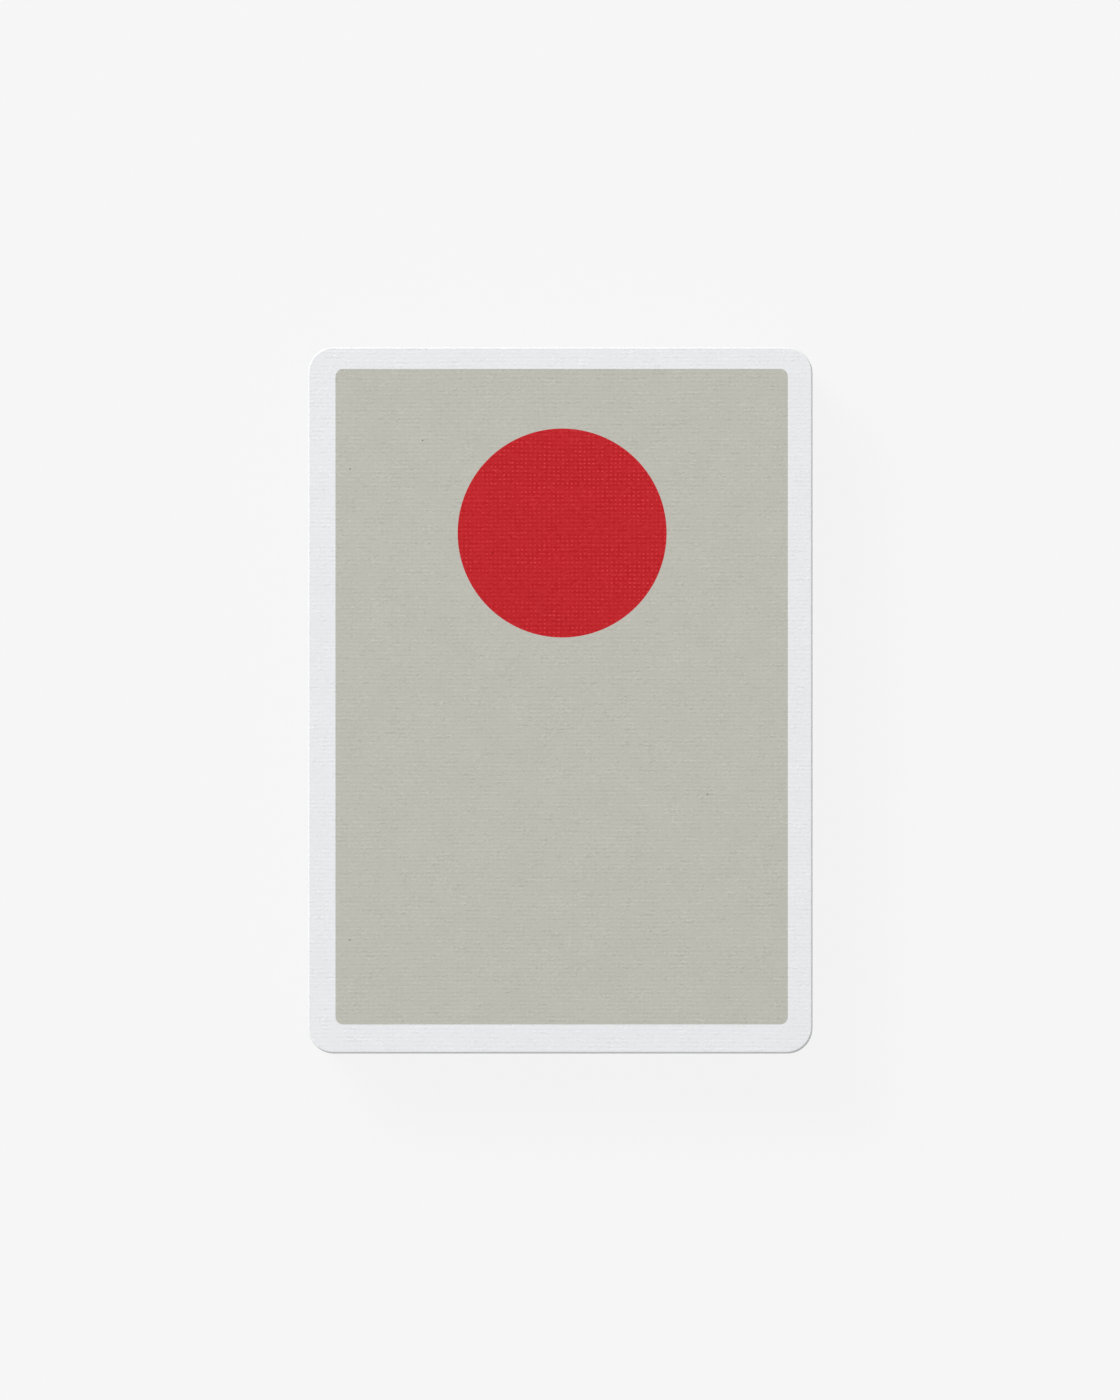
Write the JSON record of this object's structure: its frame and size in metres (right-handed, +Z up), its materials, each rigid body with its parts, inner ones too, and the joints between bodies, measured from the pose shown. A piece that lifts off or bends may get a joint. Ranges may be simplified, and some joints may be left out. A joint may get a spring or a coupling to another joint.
{
  "type": "playing card deck",
  "caption": "Squared pack of poker-size playing cards lying face down; the cards fan out about a thumb pivot, the pack cuts in two and the uppermost card is dealt off.",
  "frame": {"origin": "centre of the lowest card's face, on the surface that the pack lies on", "axes": "+Z up through the pack, towards the printed backs; +Y along the cards' long side, towards the top of the back's design; +X to the right seen from above"},
  "size_m": [0.0636, 0.089, 0.0167],
  "materials": {
    "card_stock": "white coated paper with a fine linen emboss"
  },
  "bodies": {
    "ace_of_spades": {"ace_of_spades": "card_stock"},
    "two_of_spades": {"two_of_spades": "card_stock"},
    "three_of_spades": {"three_of_spades": "card_stock"},
    "four_of_spades": {"four_of_spades": "card_stock"},
    "five_of_spades": {"five_of_spades": "card_stock"},
    "six_of_spades": {"six_of_spades": "card_stock"},
    "seven_of_spades": {"seven_of_spades": "card_stock"},
    "eight_of_spades": {"eight_of_spades": "card_stock"},
    "nine_of_spades": {"nine_of_spades": "card_stock"},
    "ten_of_spades": {"ten_of_spades": "card_stock"},
    "jack_of_spades": {"jack_of_spades": "card_stock"},
    "queen_of_spades": {"queen_of_spades": "card_stock"},
    "king_of_spades": {"king_of_spades": "card_stock"},
    "ace_of_diamonds": {"ace_of_diamonds": "card_stock"},
    "two_of_diamonds": {"two_of_diamonds": "card_stock"},
    "three_of_diamonds": {"three_of_diamonds": "card_stock"},
    "four_of_diamonds": {"four_of_diamonds": "card_stock"},
    "five_of_diamonds": {"five_of_diamonds": "card_stock"},
    "six_of_diamonds": {"six_of_diamonds": "card_stock"},
    "seven_of_diamonds": {"seven_of_diamonds": "card_stock"},
    "eight_of_diamonds": {"eight_of_diamonds": "card_stock"},
    "nine_of_diamonds": {"nine_of_diamonds": "card_stock"},
    "ten_of_diamonds": {"ten_of_diamonds": "card_stock"},
    "jack_of_diamonds": {"jack_of_diamonds": "card_stock"},
    "queen_of_diamonds": {"queen_of_diamonds": "card_stock"},
    "king_of_diamonds": {"king_of_diamonds": "card_stock"},
    "king_of_clubs": {"king_of_clubs": "card_stock"},
    "queen_of_clubs": {"queen_of_clubs": "card_stock"},
    "jack_of_clubs": {"jack_of_clubs": "card_stock"},
    "ten_of_clubs": {"ten_of_clubs": "card_stock"},
    "nine_of_clubs": {"nine_of_clubs": "card_stock"},
    "eight_of_clubs": {"eight_of_clubs": "card_stock"},
    "seven_of_clubs": {"seven_of_clubs": "card_stock"},
    "six_of_clubs": {"six_of_clubs": "card_stock"},
    "five_of_clubs": {"five_of_clubs": "card_stock"},
    "four_of_clubs": {"four_of_clubs": "card_stock"},
    "three_of_clubs": {"three_of_clubs": "card_stock"},
    "two_of_clubs": {"two_of_clubs": "card_stock"},
    "ace_of_clubs": {"ace_of_clubs": "card_stock"},
    "king_of_hearts": {"king_of_hearts": "card_stock"},
    "queen_of_hearts": {"queen_of_hearts": "card_stock"},
    "jack_of_hearts": {"jack_of_hearts": "card_stock"},
    "ten_of_hearts": {"ten_of_hearts": "card_stock"},
    "nine_of_hearts": {"nine_of_hearts": "card_stock"},
    "eight_of_hearts": {"eight_of_hearts": "card_stock"},
    "seven_of_hearts": {"seven_of_hearts": "card_stock"},
    "six_of_hearts": {"six_of_hearts": "card_stock"},
    "five_of_hearts": {"five_of_hearts": "card_stock"},
    "four_of_hearts": {"four_of_hearts": "card_stock"},
    "three_of_hearts": {"three_of_hearts": "card_stock"},
    "two_of_hearts": {"two_of_hearts": "card_stock"},
    "ace_of_hearts": {"ace_of_hearts": "card_stock"},
    "joker_black": {"joker_black": "card_stock"},
    "joker_red": {"joker_red": "card_stock"}
  },
  "joints": [
    {"name": "fan_spread", "type": "hinge", "parent": "ace_of_spades", "child": "king_of_clubs", "pos_m": [0, -0.02645, 0.00806], "axis": [0, 0, -1], "range_deg": [0, 78]},
    {"name": "fan_two_of_spades", "type": "hinge", "parent": "ace_of_spades", "child": "two_of_spades", "pos_m": [0, -0.02645, 0.00031], "axis": [0, 0, -1], "range_deg": [0, 3]},
    {"name": "fan_three_of_spades", "type": "hinge", "parent": "ace_of_spades", "child": "three_of_spades", "pos_m": [0, -0.02645, 0.00062], "axis": [0, 0, -1], "range_deg": [0, 6]},
    {"name": "fan_four_of_spades", "type": "hinge", "parent": "ace_of_spades", "child": "four_of_spades", "pos_m": [0, -0.02645, 0.00093], "axis": [0, 0, -1], "range_deg": [0, 9]},
    {"name": "fan_five_of_spades", "type": "hinge", "parent": "ace_of_spades", "child": "five_of_spades", "pos_m": [0, -0.02645, 0.00124], "axis": [0, 0, -1], "range_deg": [0, 12]},
    {"name": "fan_six_of_spades", "type": "hinge", "parent": "ace_of_spades", "child": "six_of_spades", "pos_m": [0, -0.02645, 0.00155], "axis": [0, 0, -1], "range_deg": [0, 15]},
    {"name": "fan_seven_of_spades", "type": "hinge", "parent": "ace_of_spades", "child": "seven_of_spades", "pos_m": [0, -0.02645, 0.00186], "axis": [0, 0, -1], "range_deg": [0, 18]},
    {"name": "fan_eight_of_spades", "type": "hinge", "parent": "ace_of_spades", "child": "eight_of_spades", "pos_m": [0, -0.02645, 0.00217], "axis": [0, 0, -1], "range_deg": [0, 21]},
    {"name": "fan_nine_of_spades", "type": "hinge", "parent": "ace_of_spades", "child": "nine_of_spades", "pos_m": [0, -0.02645, 0.00248], "axis": [0, 0, -1], "range_deg": [0, 24]},
    {"name": "fan_ten_of_spades", "type": "hinge", "parent": "ace_of_spades", "child": "ten_of_spades", "pos_m": [0, -0.02645, 0.00279], "axis": [0, 0, -1], "range_deg": [0, 27]},
    {"name": "fan_jack_of_spades", "type": "hinge", "parent": "ace_of_spades", "child": "jack_of_spades", "pos_m": [0, -0.02645, 0.0031], "axis": [0, 0, -1], "range_deg": [0, 30]},
    {"name": "fan_queen_of_spades", "type": "hinge", "parent": "ace_of_spades", "child": "queen_of_spades", "pos_m": [0, -0.02645, 0.00341], "axis": [0, 0, -1], "range_deg": [0, 33]},
    {"name": "fan_king_of_spades", "type": "hinge", "parent": "ace_of_spades", "child": "king_of_spades", "pos_m": [0, -0.02645, 0.00372], "axis": [0, 0, -1], "range_deg": [0, 36]},
    {"name": "fan_ace_of_diamonds", "type": "hinge", "parent": "ace_of_spades", "child": "ace_of_diamonds", "pos_m": [0, -0.02645, 0.00403], "axis": [0, 0, -1], "range_deg": [0, 39]},
    {"name": "fan_two_of_diamonds", "type": "hinge", "parent": "ace_of_spades", "child": "two_of_diamonds", "pos_m": [0, -0.02645, 0.00434], "axis": [0, 0, -1], "range_deg": [0, 42]},
    {"name": "fan_three_of_diamonds", "type": "hinge", "parent": "ace_of_spades", "child": "three_of_diamonds", "pos_m": [0, -0.02645, 0.00465], "axis": [0, 0, -1], "range_deg": [0, 45]},
    {"name": "fan_four_of_diamonds", "type": "hinge", "parent": "ace_of_spades", "child": "four_of_diamonds", "pos_m": [0, -0.02645, 0.00496], "axis": [0, 0, -1], "range_deg": [0, 48]},
    {"name": "fan_five_of_diamonds", "type": "hinge", "parent": "ace_of_spades", "child": "five_of_diamonds", "pos_m": [0, -0.02645, 0.00527], "axis": [0, 0, -1], "range_deg": [0, 51]},
    {"name": "fan_six_of_diamonds", "type": "hinge", "parent": "ace_of_spades", "child": "six_of_diamonds", "pos_m": [0, -0.02645, 0.00558], "axis": [0, 0, -1], "range_deg": [0, 54]},
    {"name": "fan_seven_of_diamonds", "type": "hinge", "parent": "ace_of_spades", "child": "seven_of_diamonds", "pos_m": [0, -0.02645, 0.00589], "axis": [0, 0, -1], "range_deg": [0, 57]},
    {"name": "fan_eight_of_diamonds", "type": "hinge", "parent": "ace_of_spades", "child": "eight_of_diamonds", "pos_m": [0, -0.02645, 0.0062], "axis": [0, 0, -1], "range_deg": [0, 60]},
    {"name": "fan_nine_of_diamonds", "type": "hinge", "parent": "ace_of_spades", "child": "nine_of_diamonds", "pos_m": [0, -0.02645, 0.00651], "axis": [0, 0, -1], "range_deg": [0, 63]},
    {"name": "fan_ten_of_diamonds", "type": "hinge", "parent": "ace_of_spades", "child": "ten_of_diamonds", "pos_m": [0, -0.02645, 0.00682], "axis": [0, 0, -1], "range_deg": [0, 66]},
    {"name": "fan_jack_of_diamonds", "type": "hinge", "parent": "ace_of_spades", "child": "jack_of_diamonds", "pos_m": [0, -0.02645, 0.00713], "axis": [0, 0, -1], "range_deg": [0, 69]},
    {"name": "fan_queen_of_diamonds", "type": "hinge", "parent": "ace_of_spades", "child": "queen_of_diamonds", "pos_m": [0, -0.02645, 0.00744], "axis": [0, 0, -1], "range_deg": [0, 72]},
    {"name": "fan_king_of_diamonds", "type": "hinge", "parent": "ace_of_spades", "child": "king_of_diamonds", "pos_m": [0, -0.02645, 0.00775], "axis": [0, 0, -1], "range_deg": [0, 75]},
    {"name": "cut_lift", "type": "slide", "parent": "king_of_clubs", "child": "queen_of_clubs", "axis": [0, 0, 1], "range_m": [0, 0.06]},
    {"name": "fan_jack_of_clubs", "type": "hinge", "parent": "queen_of_clubs", "child": "jack_of_clubs", "pos_m": [0, -0.02645, 0.00868], "axis": [0, 0, -1], "range_deg": [0, 3]},
    {"name": "fan_ten_of_clubs", "type": "hinge", "parent": "queen_of_clubs", "child": "ten_of_clubs", "pos_m": [0, -0.02645, 0.00899], "axis": [0, 0, -1], "range_deg": [0, 6]},
    {"name": "fan_nine_of_clubs", "type": "hinge", "parent": "queen_of_clubs", "child": "nine_of_clubs", "pos_m": [0, -0.02645, 0.0093], "axis": [0, 0, -1], "range_deg": [0, 9]},
    {"name": "fan_eight_of_clubs", "type": "hinge", "parent": "queen_of_clubs", "child": "eight_of_clubs", "pos_m": [0, -0.02645, 0.00961], "axis": [0, 0, -1], "range_deg": [0, 12]},
    {"name": "fan_seven_of_clubs", "type": "hinge", "parent": "queen_of_clubs", "child": "seven_of_clubs", "pos_m": [0, -0.02645, 0.00992], "axis": [0, 0, -1], "range_deg": [0, 15]},
    {"name": "fan_six_of_clubs", "type": "hinge", "parent": "queen_of_clubs", "child": "six_of_clubs", "pos_m": [0, -0.02645, 0.01023], "axis": [0, 0, -1], "range_deg": [0, 18]},
    {"name": "fan_five_of_clubs", "type": "hinge", "parent": "queen_of_clubs", "child": "five_of_clubs", "pos_m": [0, -0.02645, 0.01054], "axis": [0, 0, -1], "range_deg": [0, 21]},
    {"name": "fan_four_of_clubs", "type": "hinge", "parent": "queen_of_clubs", "child": "four_of_clubs", "pos_m": [0, -0.02645, 0.01085], "axis": [0, 0, -1], "range_deg": [0, 24]},
    {"name": "fan_three_of_clubs", "type": "hinge", "parent": "queen_of_clubs", "child": "three_of_clubs", "pos_m": [0, -0.02645, 0.01116], "axis": [0, 0, -1], "range_deg": [0, 27]},
    {"name": "fan_two_of_clubs", "type": "hinge", "parent": "queen_of_clubs", "child": "two_of_clubs", "pos_m": [0, -0.02645, 0.01147], "axis": [0, 0, -1], "range_deg": [0, 30]},
    {"name": "fan_ace_of_clubs", "type": "hinge", "parent": "queen_of_clubs", "child": "ace_of_clubs", "pos_m": [0, -0.02645, 0.01178], "axis": [0, 0, -1], "range_deg": [0, 33]},
    {"name": "fan_king_of_hearts", "type": "hinge", "parent": "queen_of_clubs", "child": "king_of_hearts", "pos_m": [0, -0.02645, 0.01209], "axis": [0, 0, -1], "range_deg": [0, 36]},
    {"name": "fan_queen_of_hearts", "type": "hinge", "parent": "queen_of_clubs", "child": "queen_of_hearts", "pos_m": [0, -0.02645, 0.0124], "axis": [0, 0, -1], "range_deg": [0, 39]},
    {"name": "fan_jack_of_hearts", "type": "hinge", "parent": "queen_of_clubs", "child": "jack_of_hearts", "pos_m": [0, -0.02645, 0.01271], "axis": [0, 0, -1], "range_deg": [0, 42]},
    {"name": "fan_ten_of_hearts", "type": "hinge", "parent": "queen_of_clubs", "child": "ten_of_hearts", "pos_m": [0, -0.02645, 0.01302], "axis": [0, 0, -1], "range_deg": [0, 45]},
    {"name": "fan_nine_of_hearts", "type": "hinge", "parent": "queen_of_clubs", "child": "nine_of_hearts", "pos_m": [0, -0.02645, 0.01333], "axis": [0, 0, -1], "range_deg": [0, 48]},
    {"name": "fan_eight_of_hearts", "type": "hinge", "parent": "queen_of_clubs", "child": "eight_of_hearts", "pos_m": [0, -0.02645, 0.01364], "axis": [0, 0, -1], "range_deg": [0, 51]},
    {"name": "fan_seven_of_hearts", "type": "hinge", "parent": "queen_of_clubs", "child": "seven_of_hearts", "pos_m": [0, -0.02645, 0.01395], "axis": [0, 0, -1], "range_deg": [0, 54]},
    {"name": "fan_six_of_hearts", "type": "hinge", "parent": "queen_of_clubs", "child": "six_of_hearts", "pos_m": [0, -0.02645, 0.01426], "axis": [0, 0, -1], "range_deg": [0, 57]},
    {"name": "fan_five_of_hearts", "type": "hinge", "parent": "queen_of_clubs", "child": "five_of_hearts", "pos_m": [0, -0.02645, 0.01457], "axis": [0, 0, -1], "range_deg": [0, 60]},
    {"name": "fan_four_of_hearts", "type": "hinge", "parent": "queen_of_clubs", "child": "four_of_hearts", "pos_m": [0, -0.02645, 0.01488], "axis": [0, 0, -1], "range_deg": [0, 63]},
    {"name": "fan_three_of_hearts", "type": "hinge", "parent": "queen_of_clubs", "child": "three_of_hearts", "pos_m": [0, -0.02645, 0.01519], "axis": [0, 0, -1], "range_deg": [0, 66]},
    {"name": "fan_two_of_hearts", "type": "hinge", "parent": "queen_of_clubs", "child": "two_of_hearts", "pos_m": [0, -0.02645, 0.0155], "axis": [0, 0, -1], "range_deg": [0, 69]},
    {"name": "fan_ace_of_hearts", "type": "hinge", "parent": "queen_of_clubs", "child": "ace_of_hearts", "pos_m": [0, -0.02645, 0.01581], "axis": [0, 0, -1], "range_deg": [0, 72]},
    {"name": "fan_joker_black", "type": "hinge", "parent": "queen_of_clubs", "child": "joker_black", "pos_m": [0, -0.02645, 0.01612], "axis": [0, 0, -1], "range_deg": [0, 75]},
    {"name": "deal_slide", "type": "slide", "parent": "joker_black", "child": "joker_red", "axis": [1, 0, 0], "range_m": [0, 0.07]}
  ],
  "couplings": [
    {"joint": "fan_two_of_spades", "follows": "fan_spread", "ratio": 0.038462},
    {"joint": "fan_three_of_spades", "follows": "fan_spread", "ratio": 0.076923},
    {"joint": "fan_four_of_spades", "follows": "fan_spread", "ratio": 0.11538},
    {"joint": "fan_five_of_spades", "follows": "fan_spread", "ratio": 0.15385},
    {"joint": "fan_six_of_spades", "follows": "fan_spread", "ratio": 0.19231},
    {"joint": "fan_seven_of_spades", "follows": "fan_spread", "ratio": 0.23077},
    {"joint": "fan_eight_of_spades", "follows": "fan_spread", "ratio": 0.26923},
    {"joint": "fan_nine_of_spades", "follows": "fan_spread", "ratio": 0.30769},
    {"joint": "fan_ten_of_spades", "follows": "fan_spread", "ratio": 0.34615},
    {"joint": "fan_jack_of_spades", "follows": "fan_spread", "ratio": 0.38462},
    {"joint": "fan_queen_of_spades", "follows": "fan_spread", "ratio": 0.42308},
    {"joint": "fan_king_of_spades", "follows": "fan_spread", "ratio": 0.46154},
    {"joint": "fan_ace_of_diamonds", "follows": "fan_spread", "ratio": 0.5},
    {"joint": "fan_two_of_diamonds", "follows": "fan_spread", "ratio": 0.53846},
    {"joint": "fan_three_of_diamonds", "follows": "fan_spread", "ratio": 0.57692},
    {"joint": "fan_four_of_diamonds", "follows": "fan_spread", "ratio": 0.61538},
    {"joint": "fan_five_of_diamonds", "follows": "fan_spread", "ratio": 0.65385},
    {"joint": "fan_six_of_diamonds", "follows": "fan_spread", "ratio": 0.69231},
    {"joint": "fan_seven_of_diamonds", "follows": "fan_spread", "ratio": 0.73077},
    {"joint": "fan_eight_of_diamonds", "follows": "fan_spread", "ratio": 0.76923},
    {"joint": "fan_nine_of_diamonds", "follows": "fan_spread", "ratio": 0.80769},
    {"joint": "fan_ten_of_diamonds", "follows": "fan_spread", "ratio": 0.84615},
    {"joint": "fan_jack_of_diamonds", "follows": "fan_spread", "ratio": 0.88462},
    {"joint": "fan_queen_of_diamonds", "follows": "fan_spread", "ratio": 0.92308},
    {"joint": "fan_king_of_diamonds", "follows": "fan_spread", "ratio": 0.96154},
    {"joint": "fan_jack_of_clubs", "follows": "fan_spread", "ratio": 0.038462},
    {"joint": "fan_ten_of_clubs", "follows": "fan_spread", "ratio": 0.076923},
    {"joint": "fan_nine_of_clubs", "follows": "fan_spread", "ratio": 0.11538},
    {"joint": "fan_eight_of_clubs", "follows": "fan_spread", "ratio": 0.15385},
    {"joint": "fan_seven_of_clubs", "follows": "fan_spread", "ratio": 0.19231},
    {"joint": "fan_six_of_clubs", "follows": "fan_spread", "ratio": 0.23077},
    {"joint": "fan_five_of_clubs", "follows": "fan_spread", "ratio": 0.26923},
    {"joint": "fan_four_of_clubs", "follows": "fan_spread", "ratio": 0.30769},
    {"joint": "fan_three_of_clubs", "follows": "fan_spread", "ratio": 0.34615},
    {"joint": "fan_two_of_clubs", "follows": "fan_spread", "ratio": 0.38462},
    {"joint": "fan_ace_of_clubs", "follows": "fan_spread", "ratio": 0.42308},
    {"joint": "fan_king_of_hearts", "follows": "fan_spread", "ratio": 0.46154},
    {"joint": "fan_queen_of_hearts", "follows": "fan_spread", "ratio": 0.5},
    {"joint": "fan_jack_of_hearts", "follows": "fan_spread", "ratio": 0.53846},
    {"joint": "fan_ten_of_hearts", "follows": "fan_spread", "ratio": 0.57692},
    {"joint": "fan_nine_of_hearts", "follows": "fan_spread", "ratio": 0.61538},
    {"joint": "fan_eight_of_hearts", "follows": "fan_spread", "ratio": 0.65385},
    {"joint": "fan_seven_of_hearts", "follows": "fan_spread", "ratio": 0.69231},
    {"joint": "fan_six_of_hearts", "follows": "fan_spread", "ratio": 0.73077},
    {"joint": "fan_five_of_hearts", "follows": "fan_spread", "ratio": 0.76923},
    {"joint": "fan_four_of_hearts", "follows": "fan_spread", "ratio": 0.80769},
    {"joint": "fan_three_of_hearts", "follows": "fan_spread", "ratio": 0.84615},
    {"joint": "fan_two_of_hearts", "follows": "fan_spread", "ratio": 0.88462},
    {"joint": "fan_ace_of_hearts", "follows": "fan_spread", "ratio": 0.92308},
    {"joint": "fan_joker_black", "follows": "fan_spread", "ratio": 0.96154}
  ]
}
